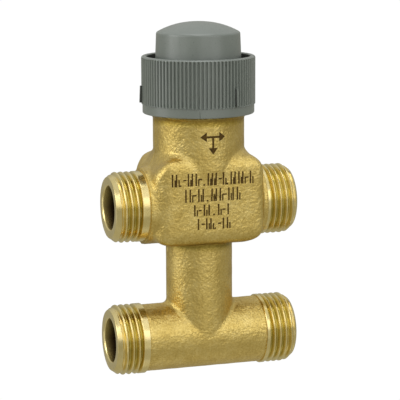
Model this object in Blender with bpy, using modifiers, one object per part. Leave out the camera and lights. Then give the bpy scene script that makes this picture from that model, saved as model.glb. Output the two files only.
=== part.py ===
"""Zone valve with bypass tee: three-port terminal-unit valve with four external G 1/2 threads.

Frame: the origin is where the upper port axis meets the stem axis. +X runs along the ports, +Z up the stem,
and the marked front face looks to -Y. All driving dimensions are millimetres, turned into metres by MM.
"""
import math

import bmesh
import bpy
from mathutils import Matrix, Vector

MM = 0.001

# ---------------------------------------------------------------- driving dimensions (mm)
FACE_X = 28.0            # port face to stem axis; 56 mm face to face
PORT_PITCH = 40.0        # upper port axis to lower port axis
THREAD_R = 20.955 / 2    # G 1/2 major radius
THREAD_LENGTH = 9.6      # threaded and machined length of a port
PORT_CHAMFER = (1.5, 2.4)   # across and along the port
PORT_BORE_R = 6.5

BLOCK_X = (-18.3, 17.0)  # upper chamber block
BLOCK_HALF_Y = 13.2
BLOCK_LOW_Z = -11.5
BLOCK_TOP_Z = 16.3
BLOCK_ROUND = 5.0        # front and back edges
BLOCK_CORNERS = (8.2, 7.2, 8.0, 12.2)   # low left, low right, top right, top left, seen from the front
COLLAR_R = (11.3, 10.7)  # raw collar between block and port thread, left and right

NECK_R = 13.55
NECK_TOP_Z = 27.05
NECK_RIM_R = 14.2        # slight flare at the top of the neck
NECK_RIM_Z = (25.9, 26.6)
PIPE_R = 9.95            # bypass pipe
TEE_R = 10.0             # lower tube

NECK_BORE_R = 11.1       # bonnet and cage bore
NECK_BORE_FLOOR_Z = 4.0
CHAMBER_R = 8.6          # outlet chamber between the seats
CHAMBER_FLOOR_Z = -11.0
BYPASS_SEAT_BORE_R = 7.0
BYPASS_SEAT_FLOOR_Z = -13.6
BYPASS_THROAT_R = 5.2

SEAT_R = 5.0             # clear radius of both seats
STROKE = 2.5
CLEAR = 0.3              # gap kept between neighbouring pieces

CAGE_LOW_Z = -0.6        # upper seat plane
CAGE_TUBE_R = 8.2
CAGE_FLANGE_R = 10.75
CAGE_TOP_Z = 13.4

BONNET_SKIRT_R = 10.8
BONNET_LOW_Z = 13.7
BONNET_COLLAR_Z = 27.35
BONNET_TOP_Z = 37.0
ACTUATOR_THREAD_R = 29.85 / 2   # M30 x 1.5
ACTUATOR_PITCH = 1.5
SPRING_CHAMBER_R = 6.4
SPRING_CHAMBER_TOP_Z = 27.4
GLAND_RECESS_R = 5.5
GLAND_FLOOR_Z = 30.0

STEM_R = 2.0
STEM_TIP_Z = 51.0
STEM_LOW_Z = -9.0
STEM_HOLE_R = 2.35

WIRE_R = 0.5
SPRING_R = 4.9
SPRING_LOW_Z = 15.2
SPRING_TOP_Z = 25.0
SPRING_TURNS = 5.0

RING_R = 16.8            # cap ring over the ribs
RING_BAND_R = 16.5       # smooth band under the ribs
RING_LOW_Z = 27.1
RING_BAND_Z = 29.9
RING_TOP_Z = 44.1
RING_BORE_R = 15.25
RING_LIP_R = 13.15
RING_LIP_Z = (38.9, 40.4)
LUG_PROUD = 0.82
LUG_WIDTH = 1.3
LUG_Z = (30.4, 35.4)
LUG_AZIMUTHS = (-66.6, 53.4, 173.4)   # degrees from +X about +Z

DOME_BASE_R = 12.85
DOME_TOP_R = 12.4
DOME_FLANGE_R = 14.9
DOME_FLANGE_Z = (37.35, 38.55)
DOME_SIDE_Z = 50.2
DOME_CROWN_Z = 53.9
DOME_WALL = 1.5

SEG = 40                 # facets of the large round shapes
SEG_SMALL = 28
SEG_WASHER = 24
SEG_RING = 24            # facets of an O-ring's circle


# ---------------------------------------------------------------- scene helpers
def clear_scene():
    for obj in list(bpy.data.objects):
        bpy.data.objects.remove(obj, do_unlink=True)
    for collection in list(bpy.data.collections):
        bpy.data.collections.remove(collection)


def new_collection(name):
    collection = bpy.data.collections.new(name)
    bpy.context.scene.collection.children.link(collection)
    return collection


def material(name, color, roughness, metallic):
    mat = bpy.data.materials.new(name)
    mat.use_nodes = True
    bsdf = mat.node_tree.nodes["Principled BSDF"]
    bsdf.inputs["Base Color"].default_value = (*color, 1.0)
    bsdf.inputs["Roughness"].default_value = roughness
    bsdf.inputs["Metallic"].default_value = metallic
    mat.diffuse_color = (*color, 1.0)
    return mat


clear_scene()
PARTS = new_collection("zone_valve")
CUTTERS = new_collection("cutters")

FORGED_BRASS = ((0.50, 0.38, 0.14), 0.42, 1.0)
TURNED_BRASS = ((0.62, 0.46, 0.17), 0.22, 1.0)
STAINLESS = ((0.62, 0.62, 0.63), 0.25, 1.0)
SPRING_STEEL = ((0.50, 0.50, 0.52), 0.32, 1.0)
ELASTOMER = ((0.02, 0.02, 0.02), 0.60, 0.0)
PTFE = ((0.85, 0.85, 0.83), 0.45, 0.0)
GREY_PLASTIC = ((0.20, 0.22, 0.21), 0.48, 0.0)


def add_object(name, mesh, finish=None):
    obj = bpy.data.objects.new(name, mesh)
    if finish is None:
        CUTTERS.objects.link(obj)
        obj.hide_render = True
        obj.display_type = 'WIRE'
    else:
        PARTS.objects.link(obj)
        mesh.materials.append(material(name, *finish))
    return obj


def smooth(obj, angle=35.0):
    obj.data.shade_smooth()
    obj.data.set_sharp_from_angle(angle=math.radians(angle))


def turned(name, profile, finish=None, segments=SEG, axis_z=True):
    """A turned piece: profile of (radius, height) in mm, running down its outer side. A profile that starts and ends
    off the axis is closed into a loop, for a ring or tube; one that starts and ends on the axis is a solid."""
    bm = bmesh.new()
    points = [bm.verts.new((r * MM, 0.0, z * MM)) for r, z in profile]
    for a, b in zip(points, points[1:]):
        bm.edges.new((a, b))
    if profile[0][0] > 0.0:
        bm.edges.new((points[-1], points[0]))
    mesh = bpy.data.meshes.new(name)
    bm.to_mesh(mesh)
    bm.free()
    obj = add_object(name, mesh, finish)
    screw = obj.modifiers.new("turn", 'SCREW')
    screw.axis = 'Z'
    screw.angle = math.tau
    screw.steps = segments
    screw.render_steps = segments
    screw.use_merge_vertices = True
    screw.merge_threshold = 0.00001
    screw.use_smooth_shade = True
    if not axis_z:
        obj.rotation_euler = (0.0, math.radians(90.0), 0.0)
    return obj


def cylinder(name, radius, start, end, segments=SEG, finish=None, end_radius=None):
    """A round bar from start to end, in mm."""
    start, end = Vector(start) * MM, Vector(end) * MM
    run = end - start
    bm = bmesh.new()
    bmesh.ops.create_cone(
        bm, cap_ends=True, segments=segments, radius1=radius * MM,
        radius2=(radius if end_radius is None else end_radius) * MM, depth=run.length)
    turn = run.to_track_quat('Z', 'Y').to_matrix().to_4x4()
    bmesh.ops.transform(bm, matrix=Matrix.Translation((start + end) / 2) @ turn, verts=bm.verts)
    mesh = bpy.data.meshes.new(name)
    bm.to_mesh(mesh)
    bm.free()
    return add_object(name, mesh, finish)


def block(name, low, high, round_mm=0.0, finish=None, segments=3):
    """A box between two corners, in mm, with rounded edges."""
    low, high = Vector(low) * MM, Vector(high) * MM
    bm = bmesh.new()
    bmesh.ops.create_cube(bm, size=1.0)
    size = high - low
    bmesh.ops.transform(
        bm, matrix=Matrix.Translation((low + high) / 2) @ Matrix.Diagonal((*size, 1.0)), verts=bm.verts)
    mesh = bpy.data.meshes.new(name)
    bm.to_mesh(mesh)
    bm.free()
    obj = add_object(name, mesh, finish)
    if round_mm:
        bevel = obj.modifiers.new("round", 'BEVEL')
        bevel.width = round_mm * MM
        bevel.segments = segments
        bevel.limit_method = 'NONE'
    return obj


def rounded_plate(name, x_range, z_range, corners, half_y, steps=4):
    """A plate standing across the Y axis, its four corners rounded each to a radius of its own, in mm."""
    bm = bmesh.new()
    bmesh.ops.create_cube(bm, size=1.0)
    centre = Vector((sum(x_range) / 2, 0.0, sum(z_range) / 2)) * MM
    size = Vector((x_range[1] - x_range[0], 2 * half_y, z_range[1] - z_range[0])) * MM
    bmesh.ops.transform(
        bm, matrix=Matrix.Translation(centre) @ Matrix.Diagonal((*size, 1.0)), verts=bm.verts)
    for right, up, radius in zip((0, 1, 1, 0), (0, 0, 1, 1), corners):
        at = Vector((x_range[right], 0.0, z_range[up])) * MM
        edge = [e for e in bm.edges if all(
            abs(v.co.x - at.x) < 1e-6 and abs(v.co.z - at.z) < 1e-6 for v in e.verts)]
        bmesh.ops.bevel(bm, geom=edge, offset=radius * MM, segments=steps, profile=0.5, affect='EDGES')
    mesh = bpy.data.meshes.new(name)
    bm.to_mesh(mesh)
    bm.free()
    return add_object(name, mesh)


def boolean(target, tool, operation):
    mod = target.modifiers.new(operation.lower() + "_" + tool.name, 'BOOLEAN')
    mod.operation = operation
    mod.solver = 'EXACT'
    mod.object = tool
    return mod


def trim(target, tool):
    boolean(target, tool, 'INTERSECT')


def join(target, *tools):
    for tool in tools:
        boolean(target, tool, 'UNION')


def cut(target, *tools):
    for tool in tools:
        boolean(target, tool, 'DIFFERENCE')


def o_ring(name, radius, section, z, finish=ELASTOMER, sides=6):
    """An O-ring: a turned circle of the cord section."""
    profile = []
    for k in range(sides):
        angle = math.pi / 2 - (k + 0.5) * math.tau / sides
        profile.append((radius + section * math.cos(angle), z + section * math.sin(angle)))
    return turned(name, profile, finish, segments=SEG_RING)


def washer(name, inner, outer, low, high, finish, segments=SEG_WASHER):
    return turned(name, [(inner, high), (outer, high), (outer, low), (inner, low)], finish, segments)


# ---------------------------------------------------------------- valve body
def run_profile(left_r, right_r):
    """Outer turned outline of one run of pipe, face to face along its own axis, with a thread land at both ends."""
    land = FACE_X - THREAD_LENGTH
    half = [(0.0, FACE_X), (THREAD_R - PORT_CHAMFER[0], FACE_X), (THREAD_R, FACE_X - PORT_CHAMFER[1]),
            (THREAD_R, land)]
    middle = [(right_r, land - 0.3)]
    if left_r != right_r:
        middle += [(right_r, 0.0), (left_r, 0.0)]
    middle.append((left_r, 0.3 - land))
    return half + middle + [(r, -x) for r, x in reversed(half)]


def make_valve_body():
    body = block(
        "valve_body",
        (BLOCK_X[0] - 0.1, -BLOCK_HALF_Y, BLOCK_LOW_Z - 0.1), (BLOCK_X[1] + 0.1, BLOCK_HALF_Y, BLOCK_TOP_Z + 0.1),
        BLOCK_ROUND, FORGED_BRASS)
    trim(body, rounded_plate(
        "block_outline", BLOCK_X, (BLOCK_LOW_Z, BLOCK_TOP_Z), BLOCK_CORNERS, BLOCK_HALF_Y + 2.0))
    neck = turned("neck_form", [
        (0.0, NECK_TOP_Z), (NECK_RIM_R, NECK_TOP_Z), (NECK_RIM_R, NECK_RIM_Z[1]), (NECK_R, NECK_RIM_Z[0]),
        (NECK_R, 0.0), (0.0, 0.0)], None, 48)
    join(body, neck)
    for name, level, base_r in (("upper_run_form", 0.0, COLLAR_R), ("lower_run_form", -PORT_PITCH, (TEE_R, TEE_R))):
        run = turned(name, run_profile(*base_r), None, SEG)
        run.rotation_euler = (0.0, math.radians(90.0), 0.0)
        run.location = (0.0, 0.0, level * MM)
        join(body, run)
    pipe = cylinder("pipe_form", PIPE_R, (0, 0, -PORT_PITCH), (0, 0, -6), SEG)
    join(body, pipe)

    # machined and cast passages
    cut(
        body,
        turned("stem_bore_cut", [
            (0.0, NECK_TOP_Z + 2),
            (NECK_BORE_R + 2.5, NECK_TOP_Z + 2),
            (NECK_BORE_R + 0.5, NECK_TOP_Z),
            (NECK_BORE_R, NECK_TOP_Z - 0.5),
            (NECK_BORE_R, NECK_BORE_FLOOR_Z),
            (CHAMBER_R, NECK_BORE_FLOOR_Z),
            (CHAMBER_R, CHAMBER_FLOOR_Z),
            (BYPASS_SEAT_BORE_R, CHAMBER_FLOOR_Z),
            (BYPASS_SEAT_BORE_R, BYPASS_SEAT_FLOOR_Z),
            (BYPASS_THROAT_R, BYPASS_SEAT_FLOOR_Z),
            (BYPASS_THROAT_R, BYPASS_SEAT_FLOOR_Z - 2.0),
            (PORT_BORE_R, BYPASS_SEAT_FLOOR_Z - 3.5),
            (PORT_BORE_R, -PORT_PITCH),
            (0.0, -PORT_PITCH),
        ], None, SEG),
        cylinder("lower_bore_cut", PORT_BORE_R, (-FACE_X - 2, 0, -PORT_PITCH), (FACE_X + 2, 0, -PORT_PITCH), SEG_SMALL),
        cylinder("inlet_bore_cut", PORT_BORE_R, (-FACE_X - 2, 0, 0), (-13.0, 0, 0), SEG_SMALL),
        cylinder("outlet_bore_cut", PORT_BORE_R, (13.0, 0, 0), (FACE_X + 2, 0, 0), SEG_SMALL),
        block("inlet_riser_cut", (-15.2, -4.3, -2.0), (-10.2, 4.3, 10.4), 1.2, None, 2),
        cylinder("outlet_throat_cut", 4.9, (5.0, 0, -3.0), (13.6, 0, -2.0), SEG_SMALL),
    )
    return body


# ---------------------------------------------------------------- pieces on the stem axis
def make_seats():
    cage = turned("seat_cage", [
        (9.25, CAGE_TOP_Z), (CAGE_FLANGE_R, CAGE_TOP_Z), (CAGE_FLANGE_R, NECK_BORE_FLOOR_Z + CLEAR),
        (CAGE_TUBE_R, NECK_BORE_FLOOR_Z + CLEAR), (CAGE_TUBE_R, 2.7), (7.05, 2.7), (7.05, 0.9), (CAGE_TUBE_R, 0.9),
        (CAGE_TUBE_R, CAGE_LOW_Z + 0.6), (5.9, CAGE_LOW_Z + 0.6), (5.9, CAGE_LOW_Z),
        (SEAT_R, CAGE_LOW_Z), (SEAT_R, 2.0), (9.25, 6.0),
    ], TURNED_BRASS, SEG)
    for number, (half_x, half_y) in enumerate(((12.5, 3.9), (3.9, 12.5))):
        cut(cage, block("cage_window_cut_%d" % number, (-half_x, -half_y, 6.5), (half_x, half_y, 12.0), 0.8, None, 2))
    o_ring("cage_o_ring", 7.85, 0.6, 1.8)
    turned("bypass_seat", [
        (SEAT_R + 0.9, -9.1), (SEAT_R + 1.7, -10.7), (BYPASS_SEAT_BORE_R - CLEAR, -10.7),
        (BYPASS_SEAT_BORE_R - CLEAR, BYPASS_SEAT_FLOOR_Z + CLEAR), (SEAT_R, BYPASS_SEAT_FLOOR_Z + CLEAR), (SEAT_R, -9.1),
    ], STAINLESS, SEG_SMALL)


def make_stem_set():
    turned("stem", [
        (0.0, STEM_TIP_Z), (STEM_R * 0.55, STEM_TIP_Z), (STEM_R * 0.9, STEM_TIP_Z - 0.3), (STEM_R, STEM_TIP_Z - 0.8),
        (STEM_R, 27.2), (1.45, 27.2), (1.45, 26.2), (STEM_R, 26.2),
        (STEM_R, 1.0), (3.4, 0.7), (3.4, -0.6), (STEM_R, -0.6),
        (STEM_R, STEM_LOW_Z + 0.4), (STEM_R - 0.4, STEM_LOW_Z), (0.0, STEM_LOW_Z),
    ], STAINLESS, 24)
    washer("upper_seal_disc", STEM_HOLE_R, 6.7, -2.7, -0.9, ELASTOMER)
    washer("plug_carrier", STEM_HOLE_R, 7.0, -4.2, -3.0, TURNED_BRASS)
    washer("lower_seal_disc", STEM_HOLE_R, 6.7, -6.3, -4.5, ELASTOMER)
    nut = cylinder("plug_nut", 3.9, (0, 0, -8.6), (0, 0, -6.6), 6, TURNED_BRASS)
    cut(nut, cylinder("plug_nut_cut", STEM_HOLE_R, (0, 0, -9.6), (0, 0, -5.6), 24))

    washer("spring_cup", STEM_HOLE_R, 5.7, SPRING_TOP_Z + CLEAR, SPRING_TOP_Z + 1.1, SPRING_STEEL)
    clip = washer("stem_clip", 1.8, 3.7, 26.4, 27.0, SPRING_STEEL, 24)
    cut(clip, block("stem_clip_cut", (-1.0, 0.0, 25.9), (1.0, 5.0, 27.5)))


def make_spring():
    """Return spring: a coil of round wire whose ends run flat for three quarters of a turn."""
    per_turn = 12
    count = int(SPRING_TURNS * per_turn)
    low, high = SPRING_LOW_Z + WIRE_R, SPRING_TOP_Z - WIRE_R
    flat = 0.75
    rise = (high - low - 2 * flat * 2.1 * WIRE_R) / (SPRING_TURNS - 2 * flat)

    def height(turn):
        if turn < flat:
            return low + turn * 2.1 * WIRE_R
        if turn > SPRING_TURNS - flat:
            return high - (SPRING_TURNS - turn) * 2.1 * WIRE_R
        return low + flat * 2.1 * WIRE_R + (turn - flat) * rise

    curve = bpy.data.curves.new("return_spring", 'CURVE')
    curve.dimensions = '3D'
    spline = curve.splines.new('POLY')
    spline.points.add(count)
    for k in range(count + 1):
        turn = SPRING_TURNS * k / count
        angle = math.tau * turn
        spline.points[k].co = (
            SPRING_R * math.cos(angle) * MM, SPRING_R * math.sin(angle) * MM, height(turn) * MM, 1.0)
    curve.bevel_depth = WIRE_R * MM
    curve.bevel_resolution = 2
    curve.use_fill_caps = True
    obj = bpy.data.objects.new("return_spring", curve)
    PARTS.objects.link(obj)
    curve.materials.append(material("return_spring", *SPRING_STEEL))
    return obj


def make_bonnet_set():
    turned("bonnet", [
        (GLAND_RECESS_R, BONNET_TOP_Z), (ACTUATOR_THREAD_R - 0.9, BONNET_TOP_Z), (ACTUATOR_THREAD_R, BONNET_TOP_Z - 0.9),
        (ACTUATOR_THREAD_R, BONNET_COLLAR_Z), (BONNET_SKIRT_R, BONNET_COLLAR_Z),
        (BONNET_SKIRT_R, 24.2), (9.5, 24.2), (9.5, 22.2), (BONNET_SKIRT_R, 22.2),
        (BONNET_SKIRT_R, BONNET_LOW_Z), (SPRING_CHAMBER_R, BONNET_LOW_Z),
        (SPRING_CHAMBER_R, SPRING_CHAMBER_TOP_Z), (STEM_HOLE_R, SPRING_CHAMBER_TOP_Z),
        (STEM_HOLE_R, GLAND_FLOOR_Z), (GLAND_RECESS_R, GLAND_FLOOR_Z),
    ], TURNED_BRASS, SEG)
    o_ring("bonnet_o_ring", 10.3, 0.62, 23.2)
    washer("spring_seat", STEM_HOLE_R, SPRING_CHAMBER_R - CLEAR, 13.8, SPRING_LOW_Z - CLEAR, SPRING_STEEL)

    washer("stem_guide", STEM_HOLE_R, GLAND_RECESS_R - CLEAR, GLAND_FLOOR_Z + CLEAR, 31.8, PTFE)
    o_ring("gland_o_ring_lower", 3.15, 0.78, 33.2)
    washer("gland_washer", STEM_HOLE_R, 3.85, 34.2, 34.8, PTFE)
    o_ring("gland_o_ring_upper", 3.15, 0.78, 35.8)
    nut = cylinder("gland_nut", 6.6, (0, 0, BONNET_TOP_Z + CLEAR), (0, 0, 39.8), 6, TURNED_BRASS)
    join(nut, cylinder("gland_shank_form", GLAND_RECESS_R - CLEAR, (0, 0, 32.1), (0, 0, 38.0), SEG_SMALL))
    cut(
        nut,
        cylinder("gland_recess_cut", 4.2, (0, 0, 31.0), (0, 0, 36.9), SEG_SMALL),
        cylinder("gland_hole_cut", STEM_HOLE_R, (0, 0, 36.0), (0, 0, 41.0), 24),
    )


# ---------------------------------------------------------------- cap
def make_cap():
    ring = turned("cap_ring", [
        (RING_BORE_R, RING_TOP_Z - 0.4), (RING_BORE_R + 0.3, RING_TOP_Z), (RING_R - 0.5, RING_TOP_Z),
        (RING_R, RING_TOP_Z - 0.6), (RING_R, RING_BAND_Z), (RING_BAND_R, RING_BAND_Z),
        (RING_BAND_R, RING_LOW_Z + 0.5), (RING_BAND_R - 0.4, RING_LOW_Z), (RING_BORE_R, RING_LOW_Z),
        (RING_BORE_R, RING_LIP_Z[0]), (RING_LIP_R, RING_LIP_Z[0]), (RING_LIP_R, RING_LIP_Z[1]),
        (RING_BORE_R, RING_LIP_Z[1]),
    ], GREY_PLASTIC, 60)
    for number, azimuth in enumerate(LUG_AZIMUTHS):
        lug = block(
            "lug_form_%d" % number, (RING_R - 1.0, -LUG_WIDTH / 2, LUG_Z[0] - 0.2),
            (RING_R + LUG_PROUD, LUG_WIDTH / 2, LUG_Z[1]), 0.25, None, 1)
        lug.rotation_euler = (0.0, 0.0, math.radians(azimuth))
        join(ring, lug)

    outer = [(0.0, DOME_CROWN_Z)]
    inner = []
    shoulder = DOME_TOP_R - 0.6
    steps = 5
    for k in range(1, steps + 1):          # shallow crown
        r = shoulder * k / steps
        outer.append((r, DOME_CROWN_Z - (DOME_CROWN_Z - DOME_SIDE_Z - 0.9) * (r / shoulder) ** 2.2))
    outer += [(DOME_TOP_R - 0.1, DOME_SIDE_Z + 0.3), (DOME_TOP_R, DOME_SIDE_Z - 0.5)]
    outer += [
        (DOME_BASE_R, DOME_FLANGE_Z[1]), (DOME_FLANGE_R, DOME_FLANGE_Z[1]), (DOME_FLANGE_R, DOME_FLANGE_Z[0]),
        (DOME_BASE_R - DOME_WALL, DOME_FLANGE_Z[0]), (DOME_TOP_R - DOME_WALL, DOME_SIDE_Z - 1.4),
    ]
    for k in range(steps - 1, 0, -1):
        r = (shoulder - 1.2) * k / steps
        inner.append((r, DOME_CROWN_Z - 1.6 - (DOME_CROWN_Z - DOME_SIDE_Z - 0.3) * (r / shoulder) ** 2.2))
    inner.append((0.0, DOME_CROWN_Z - 1.6))
    turned("cap_dome", outer + inner, GREY_PLASTIC, 44)


make_valve_body()
make_seats()
make_stem_set()
make_spring()
make_bonnet_set()
make_cap()

for piece in PARTS.objects:
    if piece.type == 'MESH':
        smooth(piece)
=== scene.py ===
"""Looks of the zone valve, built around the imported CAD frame. Lengths inside the helpers are millimetres."""
import math

import bmesh
import bpy
import numpy as np
from mathutils import Matrix, Vector


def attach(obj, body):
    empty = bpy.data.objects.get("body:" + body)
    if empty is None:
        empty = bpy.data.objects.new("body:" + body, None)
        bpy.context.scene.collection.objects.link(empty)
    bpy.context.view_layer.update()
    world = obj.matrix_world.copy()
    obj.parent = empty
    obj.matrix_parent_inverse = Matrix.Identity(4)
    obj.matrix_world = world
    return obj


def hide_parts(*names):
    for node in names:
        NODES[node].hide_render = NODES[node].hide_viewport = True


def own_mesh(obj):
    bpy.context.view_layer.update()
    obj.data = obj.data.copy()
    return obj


MM = 0.001

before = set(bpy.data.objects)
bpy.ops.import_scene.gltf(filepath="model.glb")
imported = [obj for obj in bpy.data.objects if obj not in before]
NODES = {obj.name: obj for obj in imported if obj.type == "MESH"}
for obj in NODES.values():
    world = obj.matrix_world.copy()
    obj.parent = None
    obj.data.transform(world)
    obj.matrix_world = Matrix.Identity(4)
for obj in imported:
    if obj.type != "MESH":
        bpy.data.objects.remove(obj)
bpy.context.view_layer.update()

# ------------------------------------------------------------------ dimensions shared with the CAD (mm)
FACE_X = 28.0
PORT_PITCH = 40.0
THREAD_CREST_R = 10.46
G_PITCH = 25.4 / 14
BORE_R = 6.5
NECK_R = 13.53
PIPE_R = 9.92
TUBE_R = 9.99
SKIN_END = 18.35         # the raw forging stops here, the turned port starts
UPPER_LEFT_EXTRA = 0.35  # the inlet is turned this much further in


# ------------------------------------------------------------------ mesh helpers
def new_object(name, mesh):
    obj = bpy.data.objects.new(name, mesh)
    bpy.context.scene.collection.objects.link(obj)
    return obj


def mesh_from(name, verts_mm, faces):
    mesh = bpy.data.meshes.new(name)
    mesh.from_pydata((np.asarray(verts_mm, float) * MM).tolist(), [], [list(map(int, f)) for f in faces])
    mesh.update()
    return mesh


def face_out(mesh):
    bm = bmesh.new()
    bm.from_mesh(mesh)
    bmesh.ops.recalc_face_normals(bm, faces=bm.faces)
    bm.to_mesh(mesh)
    bm.free()


def shade(obj, angle=38.0):
    obj.data.shade_smooth()
    obj.data.set_sharp_from_angle(angle=math.radians(angle))


def applied(obj):
    """Turns the object's modifiers into its mesh."""
    bpy.context.view_layer.update()
    graph = bpy.context.evaluated_depsgraph_get()
    mesh = bpy.data.meshes.new_from_object(obj.evaluated_get(graph))
    obj.modifiers.clear()
    obj.data = mesh
    return obj


def boolean(obj, tool, operation, solver='MANIFOLD'):
    mod = obj.modifiers.new("b", 'BOOLEAN')
    mod.operation = operation
    mod.solver = solver
    mod.object = tool
    applied(obj)
    bpy.data.objects.remove(tool)
    return obj


def wheel(name, rows, columns, radius_of=None, axis='Z', side=1, level=0.0):
    """A ring-shaped closed mesh: rows of (radius, along) run once round the section, columns go round the axis.
    radius_of(radius, along, angle) may vary the radius round the wheel. A first and last row with zero radius
    close on the axis. Along is measured on +Z, or on +X or -X for a port."""
    rows = np.asarray(rows, float)
    open_ended = rows[0, 0] == 0.0 and rows[-1, 0] == 0.0
    body = rows[1:-1] if open_ended else rows
    n, m = len(body), columns
    angle = np.arange(m) * math.tau / m
    r = np.repeat(body[:, :1], m, 1)
    s = np.repeat(body[:, 1:2], m, 1)
    a = np.repeat(angle[None], n, 0)
    if radius_of is not None:
        r = radius_of(r, s, a)

    def place(radius, along, turn):
        if axis == 'Z':
            return np.stack([radius * np.cos(turn), radius * np.sin(turn), along], -1)
        return np.stack([side * along, -radius * np.cos(turn), level - radius * np.sin(turn)], -1)

    verts = place(r, s, a).reshape(-1, 3)
    i = np.arange(n if not open_ended else n - 1)
    nxt = (i + 1) % n
    j = np.arange(m)
    jn = (j + 1) % m
    faces = np.stack([
        (i[:, None] * m + j[None]), (i[:, None] * m + jn[None]),
        (nxt[:, None] * m + jn[None]), (nxt[:, None] * m + j[None])], -1).reshape(-1, 4).tolist()
    verts = verts.tolist()
    if open_ended:
        for row, start in ((rows[0], 0), (rows[-1], (n - 1) * m)):
            tip = len(verts)
            verts.append(place(np.array(0.0), np.array(row[1]), np.array(0.0)).tolist())
            for k in range(m):
                faces.append([start + k, start + (k + 1) % m, tip])
    mesh = mesh_from(name, verts, faces)
    face_out(mesh)
    return new_object(name, mesh)


def bar(name, radius, start, end, columns=64):
    """A plain round cutter between two points."""
    start, end = Vector(start), Vector(end)
    run = end - start
    bm = bmesh.new()
    bmesh.ops.create_cone(bm, cap_ends=True, segments=columns, radius1=radius, radius2=radius, depth=run.length)
    turn = run.to_track_quat('Z', 'Y').to_matrix().to_4x4()
    bmesh.ops.transform(bm, matrix=Matrix.Scale(MM, 4) @ Matrix.Translation((start + end) / 2) @ turn, verts=bm.verts)
    mesh = bpy.data.meshes.new(name)
    bm.to_mesh(mesh)
    bm.free()
    return new_object(name, mesh)


def brick(name, low, high, round_mm=0.0, segments=4):
    low, high = Vector(low), Vector(high)
    bm = bmesh.new()
    bmesh.ops.create_cube(bm, size=1.0)
    bmesh.ops.transform(
        bm, matrix=Matrix.Scale(MM, 4) @ Matrix.Translation((low + high) / 2) @ Matrix.Diagonal((*(high - low), 1.0)),
        verts=bm.verts)
    if round_mm:
        bmesh.ops.bevel(bm, geom=list(bm.edges), offset=round_mm * MM, segments=segments, affect='EDGES', profile=0.5)
    mesh = bpy.data.meshes.new(name)
    bm.to_mesh(mesh)
    bm.free()
    return new_object(name, mesh)


def fillet(points, radius, steps=4):
    """A (radius, along) outline with its inner corners rounded: points are (r, s) or (r, s, own radius)."""
    out = []
    n = len(points)
    for k, p in enumerate(points):
        r = p[2] if len(p) > 2 else radius
        here = np.array(p[:2], float)
        if r <= 0 or k in (0, n - 1):
            out.append(here)
            continue
        a = np.array(points[k - 1][:2], float) - here
        b = np.array(points[(k + 1) % n][:2], float) - here
        la, lb = np.linalg.norm(a), np.linalg.norm(b)
        a, b = a / la, b / lb
        half = math.acos(max(-1.0, min(1.0, float(a @ b)))) / 2
        if half > math.radians(88):
            out.append(here)
            continue
        cut = min(r / math.tan(half), 0.45 * la, 0.45 * lb)
        for t in np.linspace(0.0, 1.0, steps + 1):
            out.append(here + a * cut * (1 - t) ** 2 + b * cut * t ** 2)
    return np.array(out)


# ------------------------------------------------------------------ implicit forging surface
def rounded_union(a, b, r):
    return np.maximum(r, np.minimum(a, b)) - np.hypot(np.maximum(r - a, 0), np.maximum(r - b, 0))


def rounded_cut(a, b, r):
    return np.minimum(-r, np.maximum(a, b)) + np.hypot(np.maximum(r + a, 0), np.maximum(r + b, 0))


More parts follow.
